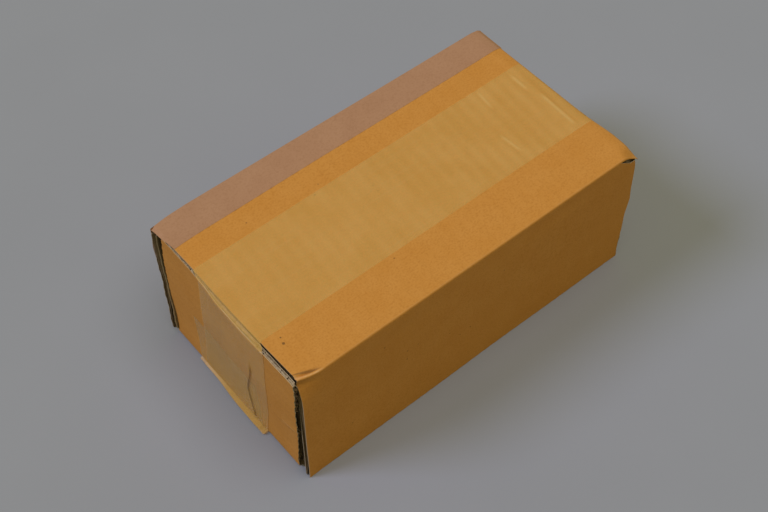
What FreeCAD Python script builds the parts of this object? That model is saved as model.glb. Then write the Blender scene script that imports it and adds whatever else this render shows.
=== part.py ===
import FreeCAD, Part
import math
import os

# A small carton of brown corrugated board, taped shut. A tray and a lid are folded from one sheet each,
# gummed paper joins them along the back and clear packing tape runs round the length.
# X runs from the near end to the far end, -Y is the front, +Z is up. The origin is the middle of the
# foot print, on the lowest face of the tape that the parcel lies on. Sizes are in millimetres.

# Outside of the carton and its board
LENGTH = 190.0
WIDTH = 104.0
HEIGHT = 80.0
BOARD = 3.0
FOLD_R = 2.0
BOARD_PLAY = 0.3

# The near end: its flap is folded askew, leans out and stands in front of the lid
FLAP_PLAY = 0.4
FLAP_LOW_BACK_GAP = 0.3
FLAP_HIGH_BACK_GAP = 4.4
FLAP_LOW_FRONT_GAP = 0.7
FLAP_HIGH_FRONT_LAP = 0.4
FLAP_CORNER_R = 2.5
BACK_WALL_PROUD = 1.8
FRONT_WALL_SETBACK = 1.5

# The far flap of the lid: how far it stands out past the length at its fold, shoulder, belly and foot.
# The packing tape holds it in; it springs out towards its front cut.
FAR_SHOULDER_DROP = 8.0
FAR_BELLY_DROP = 35.0
FAR_HELD = (1.2, 2.4, 2.7, 1.8)
FAR_SPRUNG = (2.0, 5.0, 5.7, 3.3)
FAR_SPRING_RUN = 26.0
FOLD_STEPS = 4

# The slit between the lid's two flaps, at the far top corner of the front
NOTCH_WIDTH = 4.5
NOTCH_DROP = 4.0
NOTCH_SKIN = 1.6

# The corrugated core: a wavy sheet glued between two liners, with its flutes a little askew to the cuts
LINER = 0.4
CORE_SHEET = 0.45
FLUTE_PITCH = 6.4
FLUTE_FOOT = 4.1
FLUTE_CREST = 1.3
FLUTE_SKEW = 4.6
SPARE_FLUTES = 2
FOLD_CRUSH = 3.0
NEAR_FLAP_CREST_Y = -5.0
BACK_WALL_CREST_Z = 60.0
FRONT_FLAP_CREST_Z = 45.0

# Gummed paper along the back
PAPER = 0.2
BACK_EDGE_R = 1.0
PAPER_ON_TOP = 15.7
PAPER_ON_BACK = 22.0
PAPER_OVERHANG = 2.0

# Packing tape round the length
FILM = 0.1
LAP_PLAY = 0.05
TAPE_WIDTH = 48.0
TAPE_MIDDLE_Y = -1.3
TAPE_START_LOW = 34.0
TAPE_START_HIGH = 43.0
TAPE_START_SHIFT = 5.0
TAPE_END_RUN = 110.0

# Places that follow from the sizes above
LAP = FILM + LAP_PLAY
FLOOR_Z = LAP + FILM
TOP_Z = FLOOR_Z + HEIGHT
NEAR_X = -LENGTH / 2
FAR_X = LENGTH / 2
FRONT_Y = -WIDTH / 2
BACK_Y = WIDTH / 2
TRAY_FRONT_Y = FRONT_Y + BOARD + BOARD_PLAY
TRAY_FAR_X = FAR_X - BOARD - BOARD_PLAY
TRAY_TOP_Z = TOP_Z - BOARD - BOARD_PLAY
FLAP_LEAN = BOARD + FLAP_PLAY
LEAN_ANGLE = math.atan2(FLAP_LEAN, HEIGHT)
FLUTE_RUN = LENGTH + WIDTH


def vec(x, y, z):
    return FreeCAD.Vector(x, y, z)


def box(x0, x1, y0, y1, z0, z1):
    """A block between two opposite corners."""
    return Part.makeBox(x1 - x0, y1 - y0, z1 - z0, vec(x0, y0, z0))


def rounded_outline(points, radii):
    """Edges of a closed outline whose corners are rounded by tangent arcs; radius 0 keeps a corner."""
    count = len(points)
    cuts = []
    for i in range(count):
        corner = points[i]
        before = (points[i - 1] - corner).normalize()
        after = (points[(i + 1) % count] - corner).normalize()
        half = before.getAngle(after) / 2
        reach = radii[i] / math.tan(half)
        middle = (before + after).normalize() * (radii[i] / math.sin(half) - radii[i])
        cuts.append((corner + before * reach, corner + middle, corner + after * reach, radii[i]))
    edges = []
    for i in range(count):
        enter, middle, leave, radius = cuts[i]
        if radius > 0:
            edges.append(Part.Arc(enter, middle, leave).toShape())
        edges.append(Part.LineSegment(leave, cuts[(i + 1) % count][0]).toShape())
    return edges


def prism(points, radii, push):
    """A rounded outline pushed along a direction into a solid."""
    face = Part.Face(Part.Wire(rounded_outline(points, radii)))
    return face.extrude(push)


def one_solid(pieces):
    """Pieces of one sheet joined at their folds."""
    joined = pieces[0].fuse(pieces[1:]).removeSplitter()
    return joined.Solids[0]


def across(y, z):
    return vec(0, y, z)


def along(x, z):
    return vec(x, 0, z)


def flute_corners(on_outer):
    """Corners of the air in one flute: how deep each lies in the board, and how far to its side.
    The wide foot lies on a liner and the crest is under the wavy sheet."""
    air = BOARD - 2 * LINER - CORE_SHEET
    foot = LINER if on_outer else BOARD - LINER
    crest = foot + air if on_outer else foot - air
    half_foot = FLUTE_FOOT / 2
    half_crest = FLUTE_CREST / 2
    return ((foot, -half_foot), (foot, half_foot), (crest, half_crest), (crest, -half_crest))


def flute(side, run, inward, middle, on_outer):
    """The air in one straight flute."""
    start = middle - run * (FLUTE_RUN / 2)
    section = [start + inward * depth + side * wide for depth, wide in flute_corners(on_outer)]
    return prism(section, [0, 0, 0, 0], run * FLUTE_RUN)


def flutes(origin, across_dir, flute_dir, inward, reach, keep):
    """All flutes of a flat panel, from one at the origin on its outer face, kept inside a block.
    Reach is how far they are laid side by side; spare ones at both ends fill the askew corners."""
    turn = FreeCAD.Rotation(inward, FLUTE_SKEW)
    side = turn.multVec(across_dir)
    run = turn.multVec(flute_dir)
    pieces = []
    for i in range(-SPARE_FLUTES, int(reach / FLUTE_PITCH) + SPARE_FLUTES):
        middle = origin + side * (i * FLUTE_PITCH)
        pieces.append(flute(side, run, inward, middle, True))
        pieces.append(flute(side, run, inward, middle + side * (FLUTE_PITCH / 2), False))
    return Part.makeCompound(pieces).common(keep)


def lid_front_flutes():
    """Flutes of the lid's front flap stand upright and open along the near cut and the foot."""
    origin = vec(NEAR_X, FRONT_Y, FLOOR_Z + FRONT_FLAP_CREST_Z)
    top = TOP_Z - BOARD - FOLD_CRUSH
    keep = box(NEAR_X - BOARD, TRAY_FAR_X + BOARD, FRONT_Y, FRONT_Y + BOARD, FLOOR_Z - BOARD, top)
    return flutes(origin, vec(1, 0, 0), vec(0, 0, 1), vec(0, 1, 0), LENGTH, keep)


def far_face(stand_off):
    """Outer face of the far flap from its fold to its foot, from how far each place stands out."""
    heights = (TOP_Z, TOP_Z - FAR_SHOULDER_DROP, TOP_Z - FAR_BELLY_DROP, FLOOR_Z)
    return [(FAR_X + out, z) for out, z in zip(stand_off, heights)]


def far_face_x(stand_off, z):
    """Where that face stands at a height, on the straight line between two of its places."""
    face = far_face(stand_off)
    for (high_x, high_z), (low_x, low_z) in zip(face, face[1:]):
        if z >= low_z:
            return low_x + (high_x - low_x) * (z - low_z) / (high_z - low_z)
    return face[-1][0]


def ring(points):
    return Part.makePolygon(points + [points[0]])


def through(rings):
    """A solid with straight lines between rings of corners, its faces outward."""
    solid = Part.Solid(Part.makeLoft(rings, True, True).Shells[0])
    if solid.Volume < 0:
        solid.reverse()
    return solid


def far_flute(y_places, middle_z, on_outer):
    """The air in one flute of the far flap, which follows the flap as it springs out."""
    rings = []
    for y, stand_off in y_places:
        x = far_face_x(stand_off, middle_z)
        rings.append(ring([vec(x - depth, y, middle_z + wide) for depth, wide in flute_corners(on_outer)]))
    return through(rings)


def lid_far_flutes():
    """Flutes of the lid's far flap lie level and open along both side cuts."""
    y_places = (
        (FRONT_Y - BOARD, FAR_SPRUNG),
        (FRONT_Y, FAR_SPRUNG),
        (FRONT_Y + FAR_SPRING_RUN, FAR_HELD),
        (BACK_Y + BOARD, FAR_HELD),
    )
    pieces = []
    middle_z = FLOOR_Z
    while middle_z < TOP_Z - FAR_SHOULDER_DROP - FLUTE_PITCH / 2:
        pieces.append(far_flute(y_places, middle_z, True))
        pieces.append(far_flute(y_places, middle_z + FLUTE_PITCH / 2, False))
        middle_z += FLUTE_PITCH
    return Part.makeCompound(pieces)


def lid_front_flap():
    """Top strip and front flap, rounded over the front fold, down to the floor."""
    outline = [
        across(BACK_Y, TOP_Z),
        across(FRONT_Y, TOP_Z),
        across(FRONT_Y, FLOOR_Z),
        across(FRONT_Y + BOARD, FLOOR_Z),
        across(FRONT_Y + BOARD, TOP_Z - BOARD),
        across(BACK_Y, TOP_Z - BOARD),
    ]
    flap = prism(outline, [BACK_EDGE_R, FOLD_R, 0, 0, 0, 0], vec(TRAY_FAR_X - NEAR_X, 0, 0))
    flap.translate(vec(NEAR_X, 0, 0))
    return flap


def edge_waste(start, run, edge_y, inward, radius):
    """What rounding a long top edge takes off a square one."""
    middle_y = edge_y + inward * radius
    low_y, high_y = sorted((edge_y, middle_y))
    square = box(start, start + run, low_y, high_y, TOP_Z - radius, TOP_Z)
    bar = Part.makeCylinder(radius, run, vec(start, middle_y, TOP_Z - radius), vec(1, 0, 0))
    return square.cut(bar)


def far_flap_ring(y, stand_off):
    """Outline of the end of the top and the far flap at one place across the parcel."""
    face = far_face(stand_off)
    fold_x = face[0][0]
    start = TRAY_FAR_X - BOARD
    points = [(start, TOP_Z - BOARD), (start, TOP_Z)]
    for i in range(FOLD_STEPS + 1):
        turn = math.pi / 2 * i / FOLD_STEPS
        reach = FOLD_R * (1 - math.sin(turn))
        points.append((fold_x - reach, TOP_Z - FOLD_R * (1 - math.cos(turn))))
    points += face[1:]
    points += [(x - BOARD, z) for x, z in face[:0:-1]]
    points.append((fold_x - BOARD, TOP_Z - BOARD))
    return ring([vec(x, y, z) for x, z in points])


def lid_far_flap():
    """The end of the top and the far flap, rounded over the far fold."""
    front = far_flap_ring(FRONT_Y, FAR_SPRUNG)
    held = far_flap_ring(FRONT_Y + FAR_SPRING_RUN, FAR_HELD)
    end = far_flap_ring(BACK_Y, FAR_HELD)
    flap = through([front, held, end])
    start = TRAY_FAR_X - BOARD
    run = FAR_X + FAR_SPRUNG[0] - start
    waste = [edge_waste(start, run, FRONT_Y, 1, FOLD_R), edge_waste(start, run, BACK_Y, -1, BACK_EDGE_R)]
    return flap.cut(waste)


def lid_slit():
    """What the slit between the front flap and the far flap takes out under the top skin."""
    return box(
        TRAY_FAR_X,
        FAR_X + BOARD + FAR_SPRUNG[2],
        FRONT_Y,
        FRONT_Y + NOTCH_WIDTH,
        TOP_Z - BOARD - NOTCH_DROP,
        TOP_Z - NOTCH_SKIN,
    )


def make_lid():
    sheet = one_solid([lid_front_flap(), lid_far_flap()])
    return sheet.cut([lid_slit(), lid_front_flutes(), lid_far_flutes()]).Solids[0]


def tray_bottom_and_back():
    """Bottom panel and back wall, rounded over the back fold."""
    outline = [
        across(TRAY_FRONT_Y + FOLD_R, FLOOR_Z),
        across(BACK_Y, FLOOR_Z),
        across(BACK_Y, TRAY_TOP_Z),
        across(BACK_Y - BOARD, TRAY_TOP_Z),
        across(BACK_Y - BOARD, FLOOR_Z + BOARD),
        across(TRAY_FRONT_Y + FOLD_R, FLOOR_Z + BOARD),
    ]
    start = NEAR_X + FOLD_R
    panels = prism(outline, [0, FOLD_R, 0, 0, 0, 0], vec(TRAY_FAR_X - FOLD_R - start, 0, 0))
    panels.translate(vec(start, 0, 0))
    return panels


def tray_wall_ends():
    """The back wall reaches past the bottom at both ends; its near edge stands proud of the lid."""
    foot = FLOOR_Z + BOARD
    start = NEAR_X - BACK_WALL_PROUD
    return box(start, TRAY_FAR_X, BACK_Y - BOARD, BACK_Y, foot, TRAY_TOP_Z)


def tray_front_wall():
    """The inner wall behind the lid's front flap, rounded over its fold."""
    outline = [
        across(TRAY_FRONT_Y + BOARD + FOLD_R, FLOOR_Z),
        across(TRAY_FRONT_Y, FLOOR_Z),
        across(TRAY_FRONT_Y, TRAY_TOP_Z),
        across(TRAY_FRONT_Y + BOARD, TRAY_TOP_Z),
        across(TRAY_FRONT_Y + BOARD, FLOOR_Z + BOARD),
        across(TRAY_FRONT_Y + BOARD + FOLD_R, FLOOR_Z + BOARD),
    ]
    start = NEAR_X + FRONT_WALL_SETBACK
    wall = prism(outline, [0, FOLD_R, 0, 0, 0, 0], vec(TRAY_FAR_X - start, 0, 0))
    wall.translate(vec(start, 0, 0))
    return wall


def tray_far_wall():
    """The inner wall behind the lid's far flap, folded up from the bottom."""
    inner_x = TRAY_FAR_X - BOARD
    outline = [
        along(inner_x - FOLD_R, FLOOR_Z),
        along(TRAY_FAR_X, FLOOR_Z),
        along(TRAY_FAR_X, TRAY_TOP_Z),
        along(inner_x, TRAY_TOP_Z),
        along(inner_x, FLOOR_Z + BOARD),
        along(inner_x - FOLD_R, FLOOR_Z + BOARD),
    ]
    low_y = TRAY_FRONT_Y + BOARD + BOARD_PLAY
    high_y = BACK_Y - BOARD - BOARD_PLAY
    wall = prism(outline, [0, FOLD_R, 0, 0, 0, 0], vec(0, high_y - low_y, 0))
    wall.translate(vec(0, low_y, 0))
    return wall


def flap_face_x(z):
    """Where the near flap's outer face stands at a height."""
    return NEAR_X - FLAP_LEAN * (z - FLOOR_Z) / HEIGHT


def tray_near_flap():
    """The near flap: leans out from the bottom fold, with askew side edges and rounded top corners."""
    thick = BOARD / math.cos(LEAN_ANGLE)
    outline = [
        along(NEAR_X + BOARD + FOLD_R, FLOOR_Z),
        along(NEAR_X, FLOOR_Z),
        along(flap_face_x(TOP_Z), TOP_Z),
        along(flap_face_x(TOP_Z) + thick, TOP_Z),
        along(flap_face_x(FLOOR_Z + BOARD) + thick, FLOOR_Z + BOARD),
        along(NEAR_X + BOARD + FOLD_R, FLOOR_Z + BOARD),
    ]
    slab = prism(outline, [0, FOLD_R, 0, 0, 0, 0], vec(0, WIDTH, 0))
    slab.translate(vec(0, FRONT_Y, 0))
    sides = [
        across(BACK_Y - BOARD - FLAP_LOW_BACK_GAP, FLOOR_Z),
        across(BACK_Y - BOARD - FLAP_HIGH_BACK_GAP, TOP_Z),
        across(FRONT_Y + BOARD - FLAP_HIGH_FRONT_LAP, TOP_Z),
        across(TRAY_FRONT_Y + BOARD + FLAP_LOW_FRONT_GAP, FLOOR_Z),
    ]
    reach = FLAP_LEAN + BOARD + FOLD_R
    window = prism(sides, [0, FLAP_CORNER_R, FLAP_CORNER_R, 0], vec(2 * reach, 0, 0))
    window.translate(vec(NEAR_X - reach, 0, 0))
    return slab.common(window)


def near_flap_flutes():
    """Flutes of the near flap lie level: they open along its side cuts, and slowly cross its top cut."""
    uphill = vec(-math.sin(LEAN_ANGLE), 0, math.cos(LEAN_ANGLE))
    inward = vec(math.cos(LEAN_ANGLE), 0, math.sin(LEAN_ANGLE))
    origin = vec(flap_face_x(TOP_Z), NEAR_FLAP_CREST_Y, TOP_Z)
    low = FLOOR_Z + BOARD + FOLD_CRUSH
    keep = box(NEAR_X - WIDTH, NEAR_X + WIDTH, -WIDTH, WIDTH, low, TOP_Z + BOARD)
    return flutes(origin, uphill * -1, vec(0, 1, 0), inward, HEIGHT, keep)


def tray_wall_flutes(outer_y, inward_y, near_x, crest_z):
    """Flutes of a long wall of the tray stand upright and open along its top and near cuts."""
    origin = vec(near_x, outer_y, FLOOR_Z + crest_z)
    low = FLOOR_Z + BOARD + FOLD_CRUSH
    low_y, high_y = sorted((outer_y, outer_y + inward_y * BOARD))
    keep = box(near_x - BOARD, TRAY_FAR_X - BOARD, low_y, high_y, low, TOP_Z)
    return flutes(origin, vec(1, 0, 0), vec(0, 0, 1), vec(0, inward_y, 0), LENGTH, keep)


def make_tray():
    sheet = one_solid(
        [
            tray_bottom_and_back(),
            tray_wall_ends(),
            tray_front_wall(),
            tray_far_wall(),
            tray_near_flap(),
        ]
    )
    back = tray_wall_flutes(BACK_Y, -1, NEAR_X - BACK_WALL_PROUD, BACK_WALL_CREST_Z)
    front = tray_wall_flutes(TRAY_FRONT_Y, 1, NEAR_X + FRONT_WALL_SETBACK, FRONT_FLAP_CREST_Z)
    return sheet.cut([back, front, near_flap_flutes()]).Solids[0]


def make_paper():
    """The gummed strip, folded over the back edge; its near end is cut askew and follows the back wall."""
    outline = [
        across(BACK_Y - PAPER_ON_TOP, TOP_Z),
        across(BACK_Y - PAPER_ON_TOP, TOP_Z + PAPER),
        across(BACK_Y + PAPER, TOP_Z + PAPER),
        across(BACK_Y + PAPER, TOP_Z - PAPER_ON_BACK),
        across(BACK_Y, TOP_Z - PAPER_ON_BACK),
        across(BACK_Y, TOP_Z),
    ]
    outer_r = BACK_EDGE_R + PAPER
    start = NEAR_X - PAPER_OVERHANG
    strip = prism(outline, [0, 0, outer_r, 0, 0, BACK_EDGE_R], vec(FAR_X - start, 0, 0))
    strip.translate(vec(start, 0, 0))
    inner_y = BACK_Y - PAPER_ON_TOP
    low_z = TOP_Z - PAPER_ON_BACK
    askew = Part.makePolygon(
        [
            vec(start, inner_y, low_z),
            vec(NEAR_X, inner_y, low_z),
            vec(start, BACK_Y, low_z),
            vec(start, inner_y, low_z),
        ]
    )
    waste = Part.Face(askew).extrude(vec(0, 0, PAPER_ON_BACK + PAPER))
    return strip.cut(waste).Solids[0]


def near_face(lift, z):
    """A place on the near flap's outer face, lifted off it."""
    return along(flap_face_x(z) - lift / math.cos(LEAN_ANGLE), z)


def film_turn(inner, outer, radii):
    """A stretch of film between its inner and outer outline, both listed along the tape."""
    outer_radii = [r + FILM if r > 0 else 0 for r in radii]
    return prism(inner + outer[::-1], radii + outer_radii[::-1], vec(0, TAPE_WIDTH, 0))


def tape_start():
    """The first piece of tape: down the near end and round the bottom fold, shifted to the back.
    It was torn off askew, lowest at its back edge."""
    high_cut_z = FLOOR_Z + TAPE_START_HIGH
    low_cut_z = FLOOR_Z + TAPE_START_LOW
    low_z = FLOOR_Z - FILM
    bend_x = NEAR_X + 2 * FOLD_R
    inner = [near_face(0, high_cut_z), near_face(0, FLOOR_Z), along(bend_x, FLOOR_Z)]
    outer = [near_face(FILM, high_cut_z), near_face(FILM, low_z), along(bend_x, low_z)]
    piece = film_turn(inner, outer, [0, FOLD_R, 0])
    low_y = TAPE_MIDDLE_Y - TAPE_WIDTH / 2 + TAPE_START_SHIFT
    high_y = low_y + TAPE_WIDTH
    piece.translate(vec(0, low_y, 0))
    torn = ring([across(high_y, low_cut_z), across(low_y, high_cut_z), across(high_y, high_cut_z)])
    return piece.cut(Part.Face(torn).extrude(vec(-LENGTH, 0, 0)))


def tape_under():
    """The run under the bottom, which drifts from the shifted start to the line of the rest."""
    start_x = NEAR_X + 2 * FOLD_R
    end_x = FAR_X - FOLD_R
    z = FLOOR_Z - FILM
    low_y = TAPE_MIDDLE_Y - TAPE_WIDTH / 2
    high_y = low_y + TAPE_WIDTH
    outline = [
        vec(start_x, low_y + TAPE_START_SHIFT, z),
        vec(end_x, low_y, z),
        vec(end_x, high_y, z),
        vec(start_x, high_y + TAPE_START_SHIFT, z),
    ]
    return prism(outline, [0, 0, 0, 0], vec(0, 0, FILM))


def tape_round():
    """Up the far end, over the top, down the near end over its own start and back under the bottom."""
    start_x = FAR_X - FOLD_R
    end_x = NEAR_X + TAPE_END_RUN
    low_z = FLOOR_Z - LAP
    fold, shoulder, belly, foot = [along(x, z) for x, z in far_face(FAR_HELD)]
    out = vec(FILM, 0, 0)
    down = vec(0, 0, -FILM)
    inner = [along(start_x, FLOOR_Z), foot, belly, shoulder, fold]
    outer = [along(start_x, FLOOR_Z) + down, foot + out + down]
    outer += [belly + out, shoulder + out, fold + out - down]
    inner += [near_face(LAP, TOP_Z), near_face(LAP, low_z)]
    outer += [near_face(LAP + FILM, TOP_Z + FILM), near_face(LAP + FILM, low_z - FILM)]
    inner += [along(end_x, low_z)]
    outer += [along(end_x, low_z) + down]
    piece = film_turn(inner, outer, [0, 0, 0, 0, FOLD_R, 0, FOLD_R + LAP, 0])
    piece.translate(vec(0, TAPE_MIDDLE_Y - TAPE_WIDTH / 2, 0))
    return piece


def make_tape():
    return one_solid([tape_start(), tape_under(), tape_round()])


def write_part():
    nodes = {
        "tray_board": make_tray(),
        "lid_board": make_lid(),
        "paper_tape": make_paper(),
        "sealing_tape": make_tape(),
    }
    os.makedirs("parts", exist_ok=True)
    for name, shape in nodes.items():
        shape.exportStep("parts/" + name + ".step")


write_part()
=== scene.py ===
import math

import bpy
import numpy as np
from mathutils import Matrix


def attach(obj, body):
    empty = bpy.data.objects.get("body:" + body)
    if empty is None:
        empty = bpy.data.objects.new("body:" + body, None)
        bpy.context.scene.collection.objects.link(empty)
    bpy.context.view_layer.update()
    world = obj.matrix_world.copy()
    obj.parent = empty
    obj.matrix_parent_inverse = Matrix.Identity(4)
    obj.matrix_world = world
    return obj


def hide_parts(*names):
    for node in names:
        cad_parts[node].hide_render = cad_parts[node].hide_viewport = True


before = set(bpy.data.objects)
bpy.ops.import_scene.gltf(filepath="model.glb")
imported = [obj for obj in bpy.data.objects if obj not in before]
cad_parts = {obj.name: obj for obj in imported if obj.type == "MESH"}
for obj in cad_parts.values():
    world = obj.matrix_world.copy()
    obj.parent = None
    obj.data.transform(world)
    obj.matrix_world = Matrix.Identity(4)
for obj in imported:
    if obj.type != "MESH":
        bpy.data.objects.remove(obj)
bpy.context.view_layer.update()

# ---------------------------------------------------------------------------------------------
# The lid: one sheet of brown corrugated board, scored and folded into the top, the front flap
# and the far flap. Its layers are a kraft liner outside, a wavy sheet of fluting glued between,
# and a kraft liner inside, so every raw cut shows the waves.
# ---------------------------------------------------------------------------------------------

MM = 0.001
LENGTH, WIDTH, HEIGHT = 190.0, 104.0, 80.0
FLOOR_Z = 0.25
TOP_Z = FLOOR_Z + HEIGHT
NEAR_X, FAR_X = -LENGTH / 2, LENGTH / 2
FRONT_Y, BACK_Y = -WIDTH / 2, WIDTH / 2
BOARD = 3.0
LINER = 0.38
FLUTING = 0.3
FOLD_R = 2.0
FRONT_FOLD_R = 1.1
PITCH = 6.4
SKEW = math.radians(4.6)
SAG = 0.07
LID_FRONT_END = 91.7
CREASE_Y, CREASE_TURN, CREASE_REACH = -47.7, 2.4, 11.5


def lines(*runs):
    """Places of grid lines: each run goes from its start to its end in equal steps near a size."""
    parts = [np.linspace(a, b, max(1, round(abs(b - a) / step)) + 1)[:-1] for a, b, step in runs]
    return np.concatenate(parts + [[runs[-1][1]]])


def stations(*runs):
    """Places along a folded strip. Run k of the strip, straight or fold, holds places k to k + 1;
    each run gives its own places from 0 to 1, the shared ends once."""
    parts = [k + np.asarray(run)[:-1] for k, run in enumerate(runs)]
    return np.concatenate(parts + [[float(len(runs))]])


def share(places, start, end):
    """Places on a straight run as shares of the way from its start to its end."""
    return np.clip((np.asarray(places) - start) / (end - start), 0, 1)


def folded(place, depth, corners, moves, radii):
    """Points of a strip folded at its inner corners, at a depth under its outer face.
    Each corner moves with depth by its own vector; a fold is an arc of radius r - depth, and
    sharp where depth is more. Straight runs join the arcs."""
    place, depth = np.broadcast_arrays(np.asarray(place, float), np.asarray(depth, float))
    deep = depth[..., None]
    spots = [np.array(c, float) + deep * np.array(m, float) for c, m in zip(corners, moves)]
    turns = [np.maximum(r - depth, 0)[..., None] for r in radii]
    runs = [np.subtract(b, a) for a, b in zip(corners, corners[1:])]
    ways = [run / np.linalg.norm(run) for run in runs]
    result = np.zeros(place.shape + (2,))
    for i in range(2 * len(ways) - 1):
        part = (place - i)[..., None]
        j = i // 2
        if i % 2 == 0:
            start = spots[j] + (ways[j] * turns[j - 1] if j > 0 else 0)
            end = spots[j + 1] - (ways[j] * turns[j] if j + 1 < len(ways) else 0)
            spot = start + (end - start) * part
        else:
            middle = spots[j + 1] + (ways[j + 1] - ways[j]) * turns[j]
            swing = part * math.pi / 2
            spot = middle + turns[j] * (ways[j] * np.sin(swing) - ways[j + 1] * np.cos(swing))
        result = np.where(((place >= i) & (place <= i + 1))[..., None], spot, result)
    return result


def joined(x, y, z):
    """Three arrays of coordinates as one array of points."""
    return np.stack(np.broadcast_arrays(x, y, z), -1)


def ramp(values, start, end):
    """0 before start, 1 after end, smooth between: 3t^2 - 2t^3."""
    t = np.clip((np.asarray(values, float) - start) / (end - start), 0, 1)
    return t * t * (3 - 2 * t)


def table(values, *pairs):
    """A measured curve: straight lines between (place, amount) pairs."""
    places, amounts = zip(*sorted(pairs))
    return np.interp(values, places, amounts)


def bell(values, middle, width):
    """exp(-((v - middle) / width)^2)."""
    return np.exp(-(((values - middle) / width) ** 2))


def swell(x, y, z, size):
    """Slow hills and hollows of a sheet that isn't quite flat: a sum of four skewed sine waves."""
    waves = (
        np.sin(x / 23 + y / 31 + 0.7)
        + np.sin(x / 41 - y / 19 + z / 27 + 2.1)
        + 0.6 * np.sin(x / 11 + z / 13 + 4.0)
        + 0.6 * np.sin(y / 9 - z / 17 + 1.2)
    )
    return size * waves / 3


def closed_sheet(name, layers, materials):
    """One mesh of closed shells. A layer holds the grids of its outer and inner points, which cells
    are kept, their flat places with the wear as the third number, and the material numbers of outer
    faces, inner faces and cuts. The outer cells face out, the inner cells are turned over, and every
    border of the kept cells gets a strip between the two."""
    points, faces, marks, flats, first = [], [], [], [], 0
    for outer, inner, kept, flat, face_mark, back_mark, cut_mark in layers:
        rows, columns = outer.shape[:2]
        number = np.arange(rows * columns).reshape(rows, columns)
        low = rows * columns
        a, b = number[:-1, :-1], number[1:, :-1]
        c, d = number[1:, 1:], number[:-1, 1:]
        top = np.stack([a, b, c, d], -1)[kept]
        wide = np.pad(kept, 1)
        sides = [
            (kept & ~wide[:-2, 1:-1], (a, d)),
            (kept & ~wide[2:, 1:-1], (c, b)),
            (kept & ~wide[1:-1, :-2], (b, a)),
            (kept & ~wide[1:-1, 2:], (d, c)),
        ]
        strips = [np.stack([p[m], q[m], q[m] + low, p[m] + low], -1) for m, (p, q) in sides]
        strips = np.concatenate(strips)
        all_faces = np.concatenate([top, top[:, ::-1] + low, strips])
        both = np.concatenate([outer.reshape(-1, 3), inner.reshape(-1, 3)])
        corners = both[top]
        cross = np.cross(corners[:, 2] - corners[:, 0], corners[:, 3] - corners[:, 1])
        depth = both[top + low] - corners
        if np.sum(cross * depth.mean(1)) > 0:
            all_faces = all_faces[:, ::-1]
        used, renumbered = np.unique(all_faces, return_inverse=True)
        points.append(both[used])
        flats.append(np.concatenate([flat.reshape(-1, 3)] * 2)[used])
        faces.append(renumbered.reshape(-1, 4) + first)
        marks.append(np.full(len(all_faces), face_mark))
        marks[-1][len(top) :] = back_mark
        marks[-1][2 * len(top) :] = cut_mark
        first += len(used)
    points, faces, marks, flats = (np.concatenate(x) for x in (points, faces, marks, flats))
    mesh = bpy.data.meshes.new(name)
    mesh.vertices.add(len(points))
    mesh.vertices.foreach_set("co", (points * MM).astype(np.float32).ravel())
    mesh.loops.add(faces.size)
    mesh.loops.foreach_set("vertex_index", faces.ravel().astype(np.int32))
    mesh.polygons.add(len(faces))
    mesh.polygons.foreach_set("loop_start", np.arange(0, faces.size, 4, dtype=np.int32))
    mesh.polygons.foreach_set("material_index", marks.astype(np.int32))
    mesh.update(calc_edges=True)
    mesh.polygons.foreach_set("use_smooth", np.ones(len(faces), bool))
    mesh.set_sharp_from_angle(angle=math.radians(50))
    spread = mesh.attributes.new("flat", "FLOAT_VECTOR", "POINT")
    spread.data.foreach_set("vector", (flats * MM).astype(np.float32).ravel())
    piece = bpy.data.objects.new(name, mesh)
    bpy.context.scene.collection.objects.link(piece)
    for material in materials:
        mesh.materials.append(material)
    return piece


def colour(code):
    """An sRGB hex code as linear red, green, blue and full alpha."""
    parts = [int(code[i : i + 2], 16) / 255 for i in (1, 3, 5)]
    return [p / 12.92 if p <= 0.04045 else ((p + 0.055) / 1.055) ** 2.4 for p in parts] + [1.0]


def add(material, kind, inputs=None, **settings):
    """A node of that kind with its settings. Its inputs are values, or sockets to link from."""
    tree = material.node_tree
    made = tree.nodes.new(kind)
    for key, value in settings.items():
        setattr(made, key, value)
    for key, value in (inputs or {}).items():
        if isinstance(value, bpy.types.NodeSocket):
            tree.links.new(value, made.inputs[key])
        else:
            made.inputs[key].default_value = value
    return made


def surface(name):
    """An empty material, its Principled shader and its output."""
    material = bpy.data.materials.new(name)
    material.use_nodes = True
    material.node_tree.nodes.clear()
    shader = add(material, "ShaderNodeBsdfPrincipled")
    add(material, "ShaderNodeOutputMaterial", {"Surface": shader.outputs["BSDF"]})
    return material, shader


def into(material, source, shader, socket):
    """Links a node's output to the shader."""
    material.node_tree.links.new(source, shader.inputs[socket])


def blend(material, factor, first, second):
    """The colour output of a Mix node between two colours."""
    inputs = {"Factor": factor, "A": first, "B": second}
    made = add(material, "ShaderNodeMix", data_type="RGBA", blend_type="MIX")
    tree = material.node_tree
    for key, value in inputs.items():
        wanted = "Float" if key == "Factor" else "Color"
        socket = next(s for s in made.inputs if s.name == key and s.identifier.endswith(wanted))
        if isinstance(value, bpy.types.NodeSocket):
            tree.links.new(value, socket)
        else:
            socket.default_value = value
    return next(s for s in made.outputs if s.identifier.endswith("Color"))


def levels(material, value, low, high, start=0.0, end=1.0):
    """A value spread from low..high to start..end, held at both ends."""
    inputs = {"Value": value, "From Min": low, "From Max": high, "To Min": start, "To Max": end}
    return add(material, "ShaderNodeMapRange", inputs, clamp=True).outputs["Result"]


# Pale kraft for rubbed wear and for painted highlight; dark kraft for painted shade in creases and hollows.
RUBBED_AND_HIGHLIGHT_KRAFT, CREASE_SHADE_KRAFT = "#dcae78", "#6b4a2a"
ROUGHNESS_SPREAD = 0.06


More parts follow.
